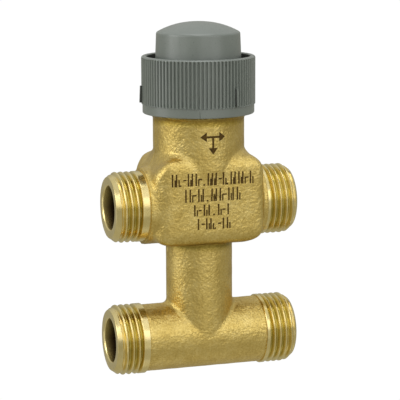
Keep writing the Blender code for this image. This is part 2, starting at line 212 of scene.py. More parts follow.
def net(field, low, high, step, rounds=6):
    """The surface field = 0 as an even, closed quad mesh: a surface net, then relaxed and pulled onto the field."""
    axes = [np.arange(low[k], high[k] + step, step) for k in range(3)]
    value = field(*np.meshgrid(*axes, indexing='ij', sparse=True))
    inside = value < 0
    corner = [(i, j, k) for i in (0, 1) for j in (0, 1) for k in (0, 1)]
    n = [s - 1 for s in inside.shape]

    def at(grid, c):
        return grid[c[0]:c[0] + n[0], c[1]:c[1] + n[1], c[2]:c[2] + n[2]]

    count = sum(at(inside, c).astype(np.int8) for c in corner)
    active = (count > 0) & (count < 8)
    cells = np.argwhere(active)
    index = np.full(active.shape, -1, np.int64)
    index[active] = np.arange(len(cells))
    total = np.zeros((len(cells), 3))
    crossings = np.zeros(len(cells))
    for c in corner:
        for k in range(3):
            if c[k]:
                continue
            d = list(c)
            d[k] = 1
            f0 = at(value, c)[active]
            f1 = at(value, d)[active]
            hit = (f0 < 0) != (f1 < 0)
            t = np.where(hit, f0 / np.where(hit, f0 - f1, 1.0), 0.0)
            point = np.repeat(np.array([c], float), len(cells), 0)
            point[:, k] += t
            total += point * hit[:, None]
            crossings += hit
    origin = np.array([a[0] for a in axes])
    points = origin + (cells + total / crossings[:, None]) * step

    quads = []
    for k in range(3):
        a, b = [q for q in range(3) if q != k]
        first = [slice(None)] * 3
        second = [slice(None)] * 3
        first[k], second[k] = slice(0, -1), slice(1, None)
        s0, s1 = inside[tuple(first)], inside[tuple(second)]
        for flip, where in ((False, s0 & ~s1), (True, ~s0 & s1)):
            e = np.argwhere(where)
            e = e[(e[:, a] > 0) & (e[:, b] > 0) & (e[:, a] < n[a]) & (e[:, b] < n[b])]
            ring = []
            for da, db in ((-1, -1), (0, -1), (0, 0), (-1, 0)):
                c = e.copy()
                c[:, a] += da
                c[:, b] += db
                ring.append(index[c[:, 0], c[:, 1], c[:, 2]])
            ring = np.stack(ring, 1)
            if (k == 1) != flip:
                ring = ring[:, ::-1]
            quads.append(ring)
    quads = np.concatenate(quads)

    edges = np.concatenate([quads[:, [0, 1]], quads[:, [1, 2]], quads[:, [2, 3]], quads[:, [3, 0]]])
    edges = np.unique(np.sort(edges, 1), axis=0)
    degree = np.bincount(edges.ravel(), minlength=len(points))[:, None]

    def slope(p):
        h = 0.02
        g = np.stack([
            field(p[:, 0] + h, p[:, 1], p[:, 2]) - field(p[:, 0] - h, p[:, 1], p[:, 2]),
            field(p[:, 0], p[:, 1] + h, p[:, 2]) - field(p[:, 0], p[:, 1] - h, p[:, 2]),
            field(p[:, 0], p[:, 1], p[:, 2] + h) - field(p[:, 0], p[:, 1], p[:, 2] - h)], 1) / (2 * h)
        return g

    for _ in range(rounds):
        near = np.zeros_like(points)
        np.add.at(near, edges[:, 0], points[edges[:, 1]])
        np.add.at(near, edges[:, 1], points[edges[:, 0]])
        pull = near / degree - points
        g = slope(points)
        unit = g / np.maximum(np.linalg.norm(g, axis=1, keepdims=True), 1e-9)
        pull -= unit * (pull * unit).sum(1, keepdims=True)
        points = points + 0.6 * pull
        g = slope(points)
        f = field(points[:, 0], points[:, 1], points[:, 2])
        points = points - g * (f / np.maximum((g * g).sum(1), 0.2))[:, None]
    return points, quads


def waviness(x, y, z):
    """Slow unevenness of a blasted forging, a few hundredths of a millimetre."""
    return (
        0.016 * np.sin(0.83 * x + 0.55 * z + 0.3) * np.cos(0.61 * y - 0.47 * z)
        + 0.012 * np.sin(1.37 * z - 0.9 * y + 1.1) * np.cos(1.21 * x + 0.4)
        + 0.008 * np.sin(2.3 * x + 1.9 * z - 1.2 * y) * np.cos(2.1 * z - 1.7 * x + 2.0))


BLOCK = dict(left=-18.3, right=17.0, half_y=13.35, low=-11.5, top=16.3, round_yz=5.6,
             round_top=(12.2, 8.0), round_low=(8.2, 7.2), round_plan=(8.4, 3.6))


def rounded_box(u, v, u_low, u_high, v_low, v_high, low_radii, high_radii):
    """Distance to a rounded rectangle in (u, v). Each pair of radii is (low u corner, high u corner)."""
    uc, vc = (u_low + u_high) / 2, (v_low + v_high) / 2
    r = np.where(u < uc, np.where(v < vc, low_radii[0], high_radii[0]), np.where(v < vc, low_radii[1], high_radii[1]))
    qu = np.abs(u - uc) - (u_high - u_low) / 2 + r
    qv = np.abs(v - vc) - (v_high - v_low) / 2 + r
    return np.hypot(np.maximum(qu, 0), np.maximum(qv, 0)) + np.minimum(np.maximum(qu, qv), 0) - r


def forging(x, y, z):
    """Signed distance of the raw forging. Each fillet shrinks where the two skins it joins run nearly parallel."""
    b = BLOCK
    mid, half = (b["low"] + b["top"]) / 2, (b["top"] - b["low"]) / 2
    r = b["round_yz"]
    qy = np.abs(y) - (b["half_y"] - r)
    qz = np.abs(z - mid) - (half - r)
    reach = np.hypot(np.maximum(qy, 0), np.maximum(qz, 0))
    side = reach + np.minimum(np.maximum(qy, qz), 0) - r
    front = rounded_box(x, z, b["left"], b["right"], b["low"], b["top"], b["round_low"], b["round_top"])
    plan = rounded_box(x, y, b["left"], b["right"], -b["half_y"], b["half_y"], b["round_plan"], b["round_plan"])
    d = rounded_cut(rounded_cut(side, front, 1.5), plan, 1.5)
    around = np.hypot(x, y)
    facing = np.where(reach > 0, np.maximum(qy, 0) / np.maximum(reach, 1e-6), (qy > qz) * 1.0)
    foot = np.clip((11.8 - z) / 4.5, 0, 1)
    rim = 0.62 * np.clip((z - 25.85) / 0.65, 0, 1)
    neck = rounded_cut(around - NECK_R - rim + 0.32 * foot * foot * (3 - 2 * foot), z - 26.95, 0.25)
    neck = np.maximum(neck, 4.0 - z)
    parallel = np.clip(facing * np.abs(y) / np.maximum(around, 1e-6), 0, 1)
    d = rounded_union(d, neck, 0.05 + 2.4 * (1 - parallel))
    collar = rounded_cut(np.hypot(y, z) - np.where(x < 0, 11.3, 10.6), np.maximum(x, -x + UPPER_LEFT_EXTRA) - SKIN_END, 0.25)
    d = rounded_union(d, collar, 0.9)
    pipe = np.maximum(around - PIPE_R, z - 2.0)
    tube_r = np.hypot(y, z + PORT_PITCH)
    tube = rounded_cut(tube_r - TUBE_R, np.abs(x) - SKIN_END, 0.12)
    parallel = np.clip(y * y / np.maximum(around * tube_r, 1e-6), 0, 1)
    tee = rounded_union(np.maximum(pipe, -(z + PORT_PITCH)), tube, 0.02 + 1.6 * (1 - parallel))
    d = rounded_union(d, tee, 0.9)
    return d - 0.13 * np.exp(-(y / 0.5) ** 2) - waviness(x, y, z)


# ------------------------------------------------------------------ threads
def thread_depth(phase, pitch, flank, rounding):
    """How far below the crest a thread surface lies, phase being the distance from a crest centre in pitches."""
    u = np.abs((phase + 0.5) % 1.0 - 0.5) * pitch
    slope = 1.0 / math.tan(flank)
    reach = rounding * math.cos(flank)
    at_reach = rounding - math.sqrt(rounding ** 2 - reach ** 2)
    depth_total = 2 * at_reach + slope * (pitch / 2 - 2 * reach)
    crest = rounding - np.sqrt(np.maximum(rounding ** 2 - u ** 2, 0))
    side = at_reach + slope * (u - reach)
    root = depth_total - rounding + np.sqrt(np.maximum(rounding ** 2 - (pitch / 2 - u) ** 2, 0))
    return np.where(u < reach, crest, np.where(u > pitch / 2 - reach, root, side))


def make_port(name, side, level, crest_x, thread_from, skin=SKIN_END):
    """Turned end of a port: plain band, right-hand G 1/2 thread, chamfer, sealing face and bore."""
    band_r = THREAD_CREST_R
    chamfer_at = 25.4
    outline = [(BORE_R - 0.05, skin - 0.15), (band_r - 0.14, skin - 0.15), (band_r, skin)]
    outline += [(band_r, s) for s in np.arange(skin + 0.2, chamfer_at, G_PITCH / 16)]
    outline += [(band_r, s) for s in np.linspace(chamfer_at, FACE_X - 0.05, 20)]
    outline += [(8.97, FACE_X), (8.7, FACE_X), (7.2, FACE_X), (6.95, FACE_X), (6.87, FACE_X - 0.03),
                (6.5, FACE_X - 0.4), (BORE_R - 0.05, FACE_X - 0.5), (BORE_R - 0.05, 24.0), (BORE_R - 0.05, 21.0)]

    def radius_of(r, s, a):
        x = side * s
        phase = (x - crest_x) / G_PITCH - (a - math.radians(22)) / math.tau
        depth = thread_depth(phase, G_PITCH, math.radians(27.5), 0.1373 * G_PITCH)
        runout = np.clip((s - thread_from) / 0.45, 0, 1)
        runout = runout * runout * (3 - 2 * runout)
        threaded = r - depth * runout
        cone = 9.0 + (FACE_X - s) * 0.74
        outer = (r > band_r - 0.01) & (s > skin)
        return np.where(outer, np.minimum(threaded, cone), r)

    return wheel(name, outline, 120, radius_of, 'X', side, level)


def make_body():
    points, quads = net(forging, (-19.2, -15.0, -51.4), (19.2, 15.0, 28.0), 0.34)
    mesh = mesh_from("valve_body_forging", points, quads)
    face_out(mesh)
    body = new_object("valve_body_forging", mesh)
    inner = [
        (0.0, 29.0), (13.6, 29.0), (11.6, 27.05), (11.1, 26.5), (11.1, 4.0), (8.6, 4.0), (8.6, -11.0), (7.0, -11.0),
        (7.0, -13.6), (5.2, -13.6), (5.2, -15.6), (6.5, -17.1), (6.5, -40.0), (0.0, -40.0)]
    boolean(body, wheel("cut_a", inner, 72), 'DIFFERENCE')
    boolean(body, bar("cut_b", BORE_R, (-20, 0, -PORT_PITCH), (20, 0, -PORT_PITCH)), 'DIFFERENCE')
    boolean(body, bar("cut_c", BORE_R, (-20, 0, 0), (-13, 0, 0)), 'DIFFERENCE')
    boolean(body, bar("cut_d", BORE_R, (13, 0, 0), (20, 0, 0)), 'DIFFERENCE')
    boolean(body, brick("cut_e", (-15.2, -4.3, -2.0), (-10.2, 4.3, 10.4), 1.5), 'DIFFERENCE')
    boolean(body, bar("cut_f", 4.9, (5.0, 0, -3.0), (13.6, 0, -2.0), 48), 'DIFFERENCE')
    shade(body, 40)
    ports = [
        make_port("valve_body_port_inlet", -1, 0.0, -23.18, 20.2, SKIN_END - UPPER_LEFT_EXTRA),
        make_port("valve_body_port_outlet", 1, 0.0, 22.61, 19.1),
        make_port("valve_body_port_bypass_left", -1, -PORT_PITCH, -23.32, 20.2),
        make_port("valve_body_port_bypass_right", 1, -PORT_PITCH, 22.64, 19.1),
    ]
    for port in ports:
        shade(port, 42)
    return body, ports


# ------------------------------------------------------------------ cap
RIBS = 90
LUGS = (-67.6, 52.4, 172.4)


def make_ring():
    columns = RIBS * 10
    tip, valley, band = 16.81, 16.27, 16.52
    outline = fillet([
        (15.25, 27.5), (15.45, 27.12, 0.12), (16.32, 27.12, 0.14), (band, 27.36, 0.14), (band, 29.82, 0.08)], 0.2,
        3).tolist()
    for z in (29.9, 29.98, 30.06, 30.16, 30.35, 30.45, 30.5, 30.7, 33.0, 35.3, 35.36, 35.42, 35.6, 38.0, 41.0, 43.0,
              43.22, 43.32, 43.42):
        outline.append((tip, z))
    outline += [(16.77, 43.56), (16.68, 43.70), (16.55, 43.82), (16.38, 43.91), (16.15, 43.95), (15.7, 43.95),
                (15.5, 43.90), (15.36, 43.80), (15.28, 43.66), (15.25, 43.5), (15.25, 42.0), (15.25, 40.8),
                (15.18, 40.55), (15.0, 40.42), (14.6, 40.4), (13.4, 40.4), (13.22, 40.34), (13.15, 40.2),
                (13.15, 39.1), (13.25, 38.95), (13.5, 38.9), (15.1, 38.9), (15.25, 38.7)]
    outline += [(15.25, z) for z in np.arange(37.0, 27.6, -1.5 / 8)]
    outline = np.array(outline)

    def radius_of(r, s, a):
        u = np.abs((a * RIBS / math.tau) % 1.0 - 0.5) * 2          # 0 on the rib, 1 in the groove
        groove = np.clip((u - 0.42) / 0.34, 0, 1)
        groove = groove * groove * (3 - 2 * groove)
        zone = np.clip((s - 29.93) / 0.14, 0, 1) * np.clip((43.46 - s) / 0.16, 0, 1)
        ribbed = tip - (tip - valley) * groove * zone
        out = np.where((r >= tip - 1e-6) & (s > 29.85), ribbed, r)
        for azimuth in LUGS:
            gap = (a - math.radians(azimuth) + math.pi) % math.tau - math.pi
            off = np.abs(gap) * 17.3
            foot = (off < 0.62) & (s > 30.4) & (s < 35.4) & (r >= tip - 1e-6)
            proud = 17.62 - 0.2 * (s - 30.4) / 5.0
            out = np.where(foot, np.where(off < 0.44, proud - 0.08 * np.clip((off - 0.32) / 0.1, 0, 1), tip), out)
        notch = (a - math.radians(-106.6) + math.pi) % math.tau - math.pi
        out = np.where((np.abs(notch) * 16.5 < 0.14) & (s < 28.3) & (r > 15.9), out - 0.18, out)
        return out

    ring = wheel("cap_ring_ribbed", outline, columns, radius_of)
    shade(ring, 34)
    return ring


def make_dome():
    outline = [(0.0, 53.9)]
    for r in np.linspace(0.8, 11.0, 15):
        outline.append((r, 53.9 - 2.91 * (r / 12.0) ** 2.23))
    outer = fillet([
        (11.0, 53.9 - 2.91 * (11.0 / 12.0) ** 2.23), (12.37, 50.8, 0.95), (12.85, 38.9, 0.25), (14.9, 38.55, 0.15),
        (14.9, 37.35, 0.15), (11.28, 37.35, 0.2), (11.1, 48.0, 1.0), (9.6, 49.7)], 0.2, 6).tolist()
    outline += outer[1:]
    for r in np.linspace(8.5, 0.9, 8):
        outline.append((r, 52.2 - 4.1 * (r / 12.0) ** 2.2))
    outline.append((0.0, 52.2))
    dome = wheel("cap_dome_shell", outline, 144)
    shade(dome, 34)
    return dome


# ------------------------------------------------------------------ bonnet with its actuator thread
def make_bonnet():
    crest = 14.9
    outline = [(5.5, 37.0), (5.8, 37.0), (13.9, 37.0), (14.02, 36.97)]
    outline += [(crest, s) for s in np.linspace(36.9, 36.0, 8)]
    outline += [(crest, s) for s in np.arange(35.9, 28.3, -1.5 / 12)]
    outline += [(crest, 28.2), (crest, 27.5), (14.75, 27.35), (10.9, 27.35), (10.8, 27.25), (10.8, 24.3), (10.7, 24.2),
                (9.5, 24.2), (9.5, 22.2), (10.7, 22.2), (10.8, 22.1), (10.8, 13.8), (10.7, 13.7), (6.5, 13.7),
                (6.4, 13.8), (6.4, 27.4), (2.35, 27.4), (2.35, 30.0), (5.5, 30.0), (5.5, 36.8)]

    def radius_of(r, s, a):
        phase = s / 1.5 - a / math.tau
        depth = thread_depth(phase, 1.5, math.radians(30), 0.15)
        runout = np.clip((s - 28.3) / 0.5, 0, 1)
        cone = 13.95 + (37.0 - s)
        on = (r > crest - 0.01) & (s > 27.4)
        return np.where(on, np.minimum(r - depth * runout, cone), r)

    bonnet = wheel("bonnet_turned", outline, 120, radius_of)
    shade(bonnet, 42)
    return bonnet


# ------------------------------------------------------------------ permanent marks on the body (generic, no lettering)
def make_spring():
    """Return spring: round wire, both ends flat for three quarters of a turn."""
    wire, coil, turns, flat = 0.5, 4.9, 5.0, 0.75
    low, high = 15.2 + wire, 25.0 - wire
    steps, sides = (360), (16)
    turn = np.linspace(0, turns, steps + 1)
    rise = (high - low - 2 * flat * 2.1 * wire) / (turns - 2 * flat)
    z = np.where(turn < flat, low + turn * 2.1 * wire,
                 np.where(turn > turns - flat, high - (turns - turn) * 2.1 * wire,
                          low + flat * 2.1 * wire + (turn - flat) * rise))
    angle = turn * math.tau
    around = np.arange(sides) / sides * math.tau
    r = coil + wire * np.cos(around)[None, :]
    points = np.stack([r * np.cos(angle)[:, None], r * np.sin(angle)[:, None],
                       z[:, None] + wire * np.sin(around)[None, :]], axis=2).reshape(-1, 3)
    i, j = np.meshgrid(np.arange(steps), np.arange(sides), indexing='ij')
    k = (j + 1) % sides
    quads = np.stack([i * sides + j, i * sides + k, (i + 1) * sides + k, (i + 1) * sides + j], axis=2)
    faces = quads.reshape(-1, 4).tolist()
    faces += [list(range(sides)), [steps * sides + n for n in range(sides)]]
    mesh = mesh_from("return_spring_wire", points, faces)
    face_out(mesh)
    spring = new_object("return_spring_wire", mesh)
    shade(spring, 50)
    return spring


def on_pad(u, v, lift):
    """Points of the front pad at (u across, v up), lift mm in front of the skin."""
    y = np.full_like(u, -13.4)
    for _ in range(8):
        f = forging(u, y, v)
        g = (forging(u, y + 0.02, v) - forging(u, y - 0.02, v)) / 0.04
        y = y - (f - lift) / np.where(np.abs(g) < 0.2, -0.2, g)
    return np.stack([u, y, v], -1)


def on_neck(u, v, lift):
    turn = u / NECK_R
    r = np.full_like(u, NECK_R)
    for _ in range(8):
        f = forging(r * np.sin(turn), -r * np.cos(turn), v)
        r = r - (f - lift)
    return np.stack([r * np.sin(turn), -r * np.cos(turn), v], -1)


def patch(corners, step=0.35):
    """A flat quad or triangle as a grid of points and faces, in (u, v)."""
    p = [np.array(c, float) for c in corners]
    if len(p) == 3:
        p.append(p[2])
    n = max(1, int(math.ceil(max(np.linalg.norm(p[1] - p[0]), np.linalg.norm(p[2] - p[3])) / step)))
    m = max(1, int(math.ceil(max(np.linalg.norm(p[3] - p[0]), np.linalg.norm(p[2] - p[1])) / step)))
    points = []
    for i in range(m + 1):
        t = i / m
        a, b = p[0] + (p[3] - p[0]) * t, p[1] + (p[2] - p[1]) * t
        points += [a + (b - a) * (j / n) for j in range(n + 1)]
    faces = [(i * (n + 1) + j, i * (n + 1) + j + 1, (i + 1) * (n + 1) + j + 1, (i + 1) * (n + 1) + j)
             for i in range(m) for j in range(n)]
    return np.array(points), faces


def make_marks():
    """Burnt-in marks as thin plates just proud of the skin: a flow arrow on the neck, four rows of plain code bars."""
    verts, faces = [], []

    def plate(corners, place, lift=0.06, depth=0.15):
        points, quads = patch(corners)
        front = place(points[:, 0], points[:, 1], lift)
        back = place(points[:, 0], points[:, 1], -depth)
        base, n = len(verts), len(points)
        verts.extend(front.tolist())
        verts.extend(back.tolist())
        rim = {}
        for q in quads:
            q = [k for i, k in enumerate(q) if k != q[i - 1]]
            faces.append([base + k for k in q])
            faces.append([base + n + k for k in reversed(q)])
            for a, b in zip(q, q[1:] + q[:1]):
                if (b, a) in rim:
                    del rim[(b, a)]
                else:
                    rim[(a, b)] = True
        for a, b in rim:
            faces.append([base + b, base + a, base + n + a, base + n + b])

    def upright(u, low, high, width, place):
        plate([(u, low), (u + width, low), (u + width, high), (u, high)], place)

    # neck: three-way flow sign
    c, z = 0.0, 20.1
    plate([(c - 2.1, z + 1.0), (c + 2.1, z + 1.0), (c + 2.1, z + 1.6), (c - 2.1, z + 1.6)], on_neck)
    plate([(c + 3.8, z + 1.3), (c + 1.9, z + 2.7), (c + 1.9, z - 0.1)], on_neck)
    plate([(c - 3.8, z + 1.3), (c - 1.9, z - 0.1), (c - 1.9, z + 2.7)], on_neck)
    plate([(c - 0.3, z - 2.0), (c + 0.3, z - 2.0), (c + 0.3, z + 1.1), (c - 0.3, z + 1.1)], on_neck)
    plate([(c, z - 3.8), (c + 1.4, z - 1.9), (c - 1.4, z - 1.9)], on_neck)

    # pad: rows of bars and dashes, each (start, end, low, high, pattern)
    rows = [
        (-12.4, 12.0, 7.2, 10.9, "II.-I|I-.II|-I.I|II-I"),
        (-8.4, 8.0, 2.5, 6.3, "|I-I|.I|I-I|I"),
        (-5.7, 5.2, -1.7, 1.6, "I-I|.I-|"),
        (-4.6, 4.9, -5.8, -2.5, "|-II.-|I"),
    ]
    for start, end, low, high, pattern in rows:
        pitch = (end - start) / (len(pattern) - 0.55)
        for k, sign in enumerate(pattern):
            u = start + k * pitch
            if sign == "|":
                upright(u, low, high, 0.46, on_pad)
            elif sign == "I":
                upright(u, low, high, 0.46, on_pad)
                upright(u + 0.78, low, low + (high - low) * 0.55, 0.4, on_pad)
            elif sign == "-":
                middle = (low + high) / 2
                plate([(u - 0.12, middle - 0.22), (u + 0.85, middle - 0.22), (u + 0.85, middle + 0.22),
                       (u - 0.12, middle + 0.22)], on_pad)
            else:
                plate([(u, low), (u + 0.5, low), (u + 0.5, low + 0.5), (u, low + 0.5)], on_pad)
    mesh = mesh_from("body_marks", verts, faces)
    face_out(mesh)
    marks = new_object("body_marks", mesh)
    shade(marks, 30)
    return marks


# ------------------------------------------------------------------ materials
class Finish:
    """A node material built from a Principled surface, in object coordinates (metres)."""

    def __init__(self, name, color, roughness, metallic=0.0, specular=0.5):
        self.material = bpy.data.materials.new(name)
        self.material.use_nodes = True
        self.tree = self.material.node_tree
        self.nodes = self.tree.nodes
        self.surface = next(n for n in self.nodes if n.type == 'BSDF_PRINCIPLED')
        self.surface.inputs['Base Color'].default_value = (*color, 1.0)
        self.surface.inputs['Roughness'].default_value = roughness
        self.surface.inputs['Metallic'].default_value = metallic
        self.surface.inputs['Specular IOR Level'].default_value = specular
        self.place = self.add('ShaderNodeTexCoord').outputs['Object']
        self.height = None

    def add(self, kind, **values):
        node = self.nodes.new(kind)
        for key, value in values.items():
            if hasattr(node, key):
                setattr(node, key, value)
            else:
                node.inputs[key].default_value = value
        return node

    def link(self, a, b):
        self.tree.links.new(a, b)

    def math(self, operation, a, b=0.0, clamp=False):
        node = self.add('ShaderNodeMath', operation=operation, use_clamp=clamp)
        for socket, value in zip(node.inputs, (a, b)):
            if hasattr(value, "links"):
                self.link(value, socket)
            else:
                socket.default_value = value
        return node.outputs[0]

    def noise(self, size_mm, detail=2.0, rough=0.5, distortion=0.0, offset=0.0, stretch=None):
        place = self.place
        if stretch or offset:
            move = self.add('ShaderNodeMapping')
            move.inputs['Scale'].default_value = stretch or (1, 1, 1)
            move.inputs['Location'].default_value = (offset, offset * 0.7, -offset * 1.3)
            self.link(place, move.inputs['Vector'])
            place = move.outputs[0]
        node = self.add('ShaderNodeTexNoise', Scale=1.0 / (size_mm * MM), Detail=detail, Roughness=rough,
                        Distortion=distortion)
        self.link(place, node.inputs['Vector'])
        return node.outputs['Fac']

    def rings(self, size_mm, detail=3.0, slant=0.6):
        """Noise that only changes along and out from the X axis of a port, so it lies in turning marks."""
        axis = self.add('ShaderNodeSeparateXYZ')
        self.link(self.place, axis.inputs[0])
        node = self.add('ShaderNodeTexNoise', noise_dimensions='1D')
        node.inputs['Scale'].default_value = 1.0
        node.inputs['Detail'].default_value = detail
        low = self.math('LESS_THAN', axis.outputs[2], -0.02)
        z = self.math('ADD', axis.outputs[2], self.math('MULTIPLY', low, PORT_PITCH * MM))
        r = self.math('SQRT', self.math('ADD', self.math('MULTIPLY', z, z),
                                        self.math('MULTIPLY', axis.outputs[1], axis.outputs[1])))
        w = self.math('MULTIPLY', self.math('ADD', axis.outputs[0], self.math('MULTIPLY', r, slant)),
                      1.0 / (size_mm * MM))
        self.link(w, node.inputs['W'])
        return node.outputs['Fac']

    def rings_z(self, size_mm, detail=3.0, slant=0.6):
        axis = self.add('ShaderNodeSeparateXYZ')
        self.link(self.place, axis.inputs[0])
        node = self.add('ShaderNodeTexNoise', noise_dimensions='1D')
        node.inputs['Scale'].default_value = 1.0
        node.inputs['Detail'].default_value = detail
        r = self.math('SQRT', self.math('ADD', self.math('MULTIPLY', axis.outputs[0], axis.outputs[0]),
                                        self.math('MULTIPLY', axis.outputs[1], axis.outputs[1])))
        w = self.math('MULTIPLY', self.math('ADD', axis.outputs[2], self.math('MULTIPLY', r, slant)),
                      1.0 / (size_mm * MM))
        self.link(w, node.inputs['W'])
        return node.outputs['Fac']

    def ramp(self, value, stops):
        node = self.add('ShaderNodeValToRGB')
        ramp = node.color_ramp
        while len(ramp.elements) < len(stops):
            ramp.elements.new(0.5)
        for element, (position, color) in zip(ramp.elements, stops):
            element.position = position
            element.color = (*color, 1.0)
        self.link(value, node.inputs[0])
        return node.outputs[0]

    def remap(self, value, from_low, from_high, to_low, to_high):
        node = self.add('ShaderNodeMapRange')
        for socket, v in zip(node.inputs[1:5], (from_low, from_high, to_low, to_high)):
            socket.default_value = v
        self.link(value, node.inputs[0])
        return node.outputs[0]

    def bump(self, value, depth_mm, strength=1.0):
        node = self.add('ShaderNodeBump')
        node.inputs['Strength'].default_value = strength
        node.inputs['Distance'].default_value = depth_mm * MM
        self.link(value, node.inputs['Height'])
        if self.height is not None:
            self.link(self.height, node.inputs['Normal'])
        self.height = node.outputs[0]
        self.link(self.height, self.surface.inputs['Normal'])


def forged_brass():
    """Blasted skin, with painted shade below the cap and in the corner between the chamber's underside and the pipe."""
    f = Finish("forged_brass_blasted", (0.72, 0.55, 0.19), 0.42, 1.0)
    cloud = f.noise(5.0, 3.0, 0.55)
    grain = f.noise(0.55, 3.0, 0.6, offset=0.3)
    mixed = f.math('ADD', f.math('MULTIPLY', cloud, 0.45), f.math('MULTIPLY', grain, 0.55))
    axis = f.add('ShaderNodeSeparateXYZ')
    f.link(f.place, axis.inputs[0])
    # Painted shade: the base colour darkens in a band round the chamber's underside and the top of the pipe beneath it,
    # where the chamber shades the pipe; the collar bottoms in that band darken too.
    painted_shade_beneath = f.ramp(f.remap(axis.outputs[2], -0.0145, -0.0083, 0.0, 1.0), [
        (0.161, (1.0, 1.0, 1.0)), (0.242, (0.92, 0.92, 0.87)), (0.29, (0.83, 0.83, 0.73)), (0.339, (0.74, 0.74, 0.61)),
        (0.435, (0.48, 0.47, 0.32)), (0.5, (0.49, 0.48, 0.33)), (0.597, (0.61, 0.60, 0.46)), (0.694, (0.74, 0.73, 0.62)),
        (0.806, (0.84, 0.84, 0.76)), (0.903, (0.93, 0.93, 0.89)), (1.0, (1.0, 1.0, 1.0))])
    # Painted shade: the top of the neck darkens just below the cap ring, where the ring shades it.
    painted_shade_under_cap = f.ramp(f.remap(axis.outputs[2], 0.0240, 0.0270, 0.0, 1.0), [
        (0.0, (1.0, 1.0, 1.0)), (0.1, (0.96, 0.96, 0.84)), (0.2, (0.86, 0.85, 0.68)), (0.3, (0.77, 0.75, 0.54)),
        (0.4, (0.68, 0.64, 0.42)), (0.5, (0.61, 0.56, 0.36)), (0.65, (0.57, 0.54, 0.40)), (0.85, (0.51, 0.51, 0.46)),
        (1.0, (0.50, 0.50, 0.48))])
    # Both painted shade ramps multiply the grain colour below.
    both, tint = f.add('ShaderNodeMixRGB'), f.add('ShaderNodeMixRGB')
    for node in (both, tint):
        node.blend_type = 'MULTIPLY'
        node.inputs[0].default_value = 1.0
    f.link(painted_shade_under_cap, both.inputs[1])
    f.link(painted_shade_beneath, both.inputs[2])
    f.link(f.ramp(mixed, [(0.36, (0.605, 0.435, 0.122)), (0.5, (0.725, 0.54, 0.17)), (0.66, (0.845, 0.66, 0.252))]),
           tint.inputs[1])
    f.link(both.outputs[0], tint.inputs[2])
    f.link(tint.outputs[0], f.surface.inputs['Base Color'])
    f.link(f.remap(grain, 0.3, 0.7, 0.44, 0.31), f.surface.inputs['Roughness'])
    f.bump(f.noise(1.3, 2.0, 0.5, offset=0.1), 0.19)
    f.bump(f.noise(0.7, 2.0, 0.6), 0.18)
    return f.material


def turned_brass():
    """Port ends: base colour lighter on the crests, bands and end faces as painted highlight, darker in the thread
    roots as painted shade.
    """
    f = Finish("turned_brass_bright", (0.80, 0.62, 0.25), 0.2, 1.0)
    marks = f.rings(0.09)
    cloud = f.noise(3.0, 2.0)
    axis = f.add('ShaderNodeSeparateXYZ')
    f.link(f.place, axis.inputs[0])
    low = f.math('LESS_THAN', axis.outputs[2], -0.02)
    level = f.math('ADD', axis.outputs[2], f.math('MULTIPLY', low, PORT_PITCH * MM))
    across = f.math('ADD', f.math('MULTIPLY', axis.outputs[1], axis.outputs[1]), f.math('MULTIPLY', level, level))
    # Painted highlight and painted shade: by radius and by distance along the port, the base colour is lighter out on
    # the crests, bands, chamfers and faces and darker down in the thread roots; the cloud adds uneven tone.
    crest = f.remap(f.math('SQRT', across, 0.0), 0.0093, 0.0101, 0.0, 1.0)
    end = f.remap(f.math('ABSOLUTE', axis.outputs[0], 0.0), 0.0252, 0.0255, 0.0, 1.0)
    painted_light_level = f.math('MULTIPLY', f.math('MAXIMUM', crest, end), 0.75)
    value = f.math('ADD', painted_light_level, f.remap(cloud, 0.3, 0.7, 0.0, 0.25))
    f.link(f.ramp(value, [(0.0, (0.54, 0.45, 0.13)), (0.3, (0.63, 0.52, 0.165)), (0.75, (0.815, 0.665, 0.285)),
                          (1.0, (0.91, 0.765, 0.385))]), f.surface.inputs['Base Color'])
    f.link(f.remap(marks, 0.3, 0.7, 0.18, 0.26), f.surface.inputs['Roughness'])
    f.bump(marks, 0.0015)
    return f.material


def turned_brass_upright():
    f = Finish("turned_brass_upright", (0.80, 0.62, 0.25), 0.2, 1.0)
    marks = f.rings_z(0.09)
    f.link(f.remap(marks, 0.3, 0.7, 0.18, 0.32), f.surface.inputs['Roughness'])
    f.bump(marks, 0.004)
    return f.material


def grey_plastic():
    f = Finish("grey_moulded_plastic", (0.195, 0.216, 0.190), 0.30, 0.0, 1.0)
    cloud = f.noise(9.0, 3.0)
    f.link(f.ramp(cloud, [(0.3, (0.186, 0.211, 0.192)), (0.7, (0.203, 0.229, 0.209))]),
           f.surface.inputs['Base Color'])
    fine = f.noise(0.35, 2.0)
    f.link(f.remap(fine, 0.3, 0.7, 0.27, 0.35), f.surface.inputs['Roughness'])
    f.bump(fine, 0.006)
    f.bump(f.noise(6.0, 1.0), 0.05)
    return f.material


def bore_brass():
    """Bore wall with painted shade: light at the mouth, darker inwards and on its lower half."""
    f = Finish("bore_brass_shaded", (0.20, 0.145, 0.055), 0.5, 1.0)
    axis = f.add('ShaderNodeSeparateXYZ')
    f.link(f.place, axis.inputs[0])
    # Painted shade: the base colour darkens with depth into the bore and on the bore's lower half.
    inward = f.remap(f.math('ABSOLUTE', axis.outputs[0], 0.0), 0.028, 0.0232, 0.0, 1.0)
    low = f.math('LESS_THAN', axis.outputs[2], -0.02)
    level = f.math('ADD', axis.outputs[2], f.math('MULTIPLY', low, PORT_PITCH * MM))
    painted_shade_beneath = f.remap(level, 0.003, -0.001, 0.0, 0.38)
    painted_shade_depth = f.math('ADD', inward, painted_shade_beneath)
    f.link(f.ramp(painted_shade_depth, [(0.0, (0.62, 0.50, 0.20)), (0.35, (0.39, 0.31, 0.11)), (0.75, (0.16, 0.115, 0.042)),
                         (1.0, (0.075, 0.045, 0.02))]), f.surface.inputs['Base Color'])
    f.bump(f.noise(0.8, 2.0), 0.02)
    return f.material


